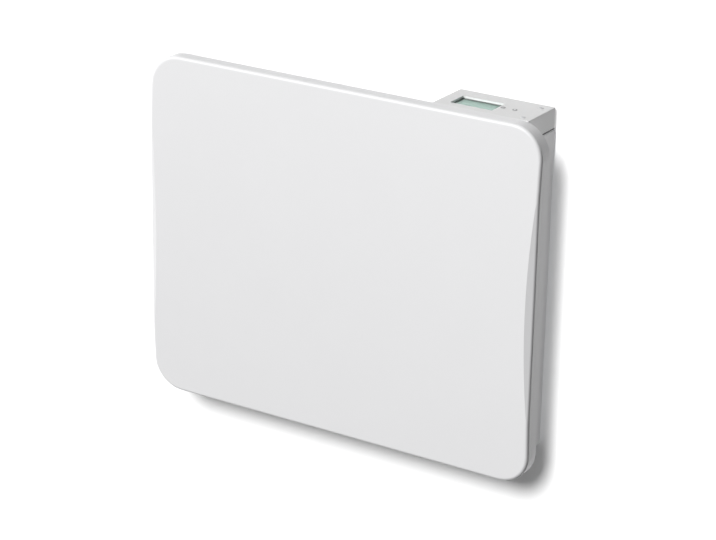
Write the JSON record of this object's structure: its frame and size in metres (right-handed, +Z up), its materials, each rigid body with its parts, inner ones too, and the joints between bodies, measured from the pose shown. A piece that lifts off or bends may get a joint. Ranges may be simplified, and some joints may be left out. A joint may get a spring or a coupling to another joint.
{
  "type": "electric ceramic radiator",
  "caption": "Slim wall-hung electric radiator with a bulged white face, crescent side chamfers, a narrower rear casing and a top control box with a display.",
  "frame": {"origin": "centre of the wall bracket's four screw slots, on the wall surface", "axes": "+X to the right seen from the room, -Y towards the room, +Z up"},
  "size_m": [0.55, 0.1, 0.4505],
  "materials": {
    "white_enamel": "satin white powder coat",
    "grey_panel": "matt grey powder coat",
    "zinc_steel": "zinc plated",
    "black_rubber": "matt",
    "steel_screws": "zinc plated",
    "core_ceramic": "unglazed, fine grain",
    "element_sheath": "heat tinted",
    "mineral_board": "pressed fibre",
    "reflector_foil": "bright rolled",
    "black_plastic": "fine moulded grain",
    "white_plastic": "fine moulded grain",
    "clear_window": "clear",
    "display_glass": "grey-green liquid crystal",
    "board_green": "solder resist",
    "dark_keys": "fine moulded grain",
    "pale_keys": "fine moulded grain",
    "block_plastic": "natural nylon",
    "lead_sleeve": "silicone sleeve"
  },
  "bodies": {
    "bracket": {"wall_bracket": "zinc_steel"},
    "heater": {"front_cover": "white_enamel", "rear_casing": "white_enamel", "rear_panel": "grey_panel", "wall_bumpers": "black_rubber", "cover_screws": "steel_screws", "panel_screws": "steel_screws", "box_screws": "steel_screws", "board_screws": "steel_screws", "rear_bricks": "core_ceramic", "front_bricks": "core_ceramic", "heating_element": "element_sheath", "element_terminals": "element_sheath", "core_channel_top": "zinc_steel", "core_channel_bottom": "zinc_steel", "core_legs": "zinc_steel", "insulation_board": "mineral_board", "reflector_sheet": "reflector_foil", "board_stand_offs": "zinc_steel", "cutout_bracket": "zinc_steel", "thermal_cutout": "black_plastic", "control_body": "white_plastic", "control_fascia": "white_plastic", "display_window": "clear_window", "display_module": "display_glass", "display_board": "board_green", "power_board": "board_green", "tactile_switches": "black_plastic", "power_relay": "black_plastic", "filter_capacitor": "black_plastic", "board_header": "black_plastic", "lead_grommet": "black_rubber", "terminal_block": "block_plastic", "cable_gland": "black_plastic", "gland_nut": "black_plastic", "earth_stud": "zinc_steel", "earth_nut": "zinc_steel", "room_sensor": "black_plastic", "sensor_clip": "block_plastic", "mains_lead": "lead_sleeve", "element_lead_top": "lead_sleeve", "element_lead_bottom": "lead_sleeve", "sensor_lead": "lead_sleeve", "lead_clips": "block_plastic"},
    "key_power": {"key_power": "dark_keys"},
    "key_mode": {"key_mode": "dark_keys"},
    "key_plus": {"key_plus": "pale_keys"},
    "key_minus": {"key_minus": "pale_keys"}
  },
  "joints": [
    {"name": "heater_lift", "type": "slide", "parent": "bracket", "child": "heater", "axis": [0, 0, 1], "range_m": [0, 0.012]},
    {"name": "key_power_press", "type": "slide", "parent": "heater", "child": "key_power", "axis": [0, 0, -1], "range_m": [0, 0.0008], "stiffness_N_per_m": 600, "springref_m": -0.001},
    {"name": "key_mode_press", "type": "slide", "parent": "heater", "child": "key_mode", "axis": [0, 0, -1], "range_m": [0, 0.0008], "stiffness_N_per_m": 600, "springref_m": -0.001},
    {"name": "key_plus_press", "type": "slide", "parent": "heater", "child": "key_plus", "axis": [0, 0, -1], "range_m": [0, 0.0008], "stiffness_N_per_m": 600, "springref_m": -0.001},
    {"name": "key_minus_press", "type": "slide", "parent": "heater", "child": "key_minus", "axis": [0, 0, -1], "range_m": [0, 0.0008], "stiffness_N_per_m": 600, "springref_m": -0.001}
  ]
}
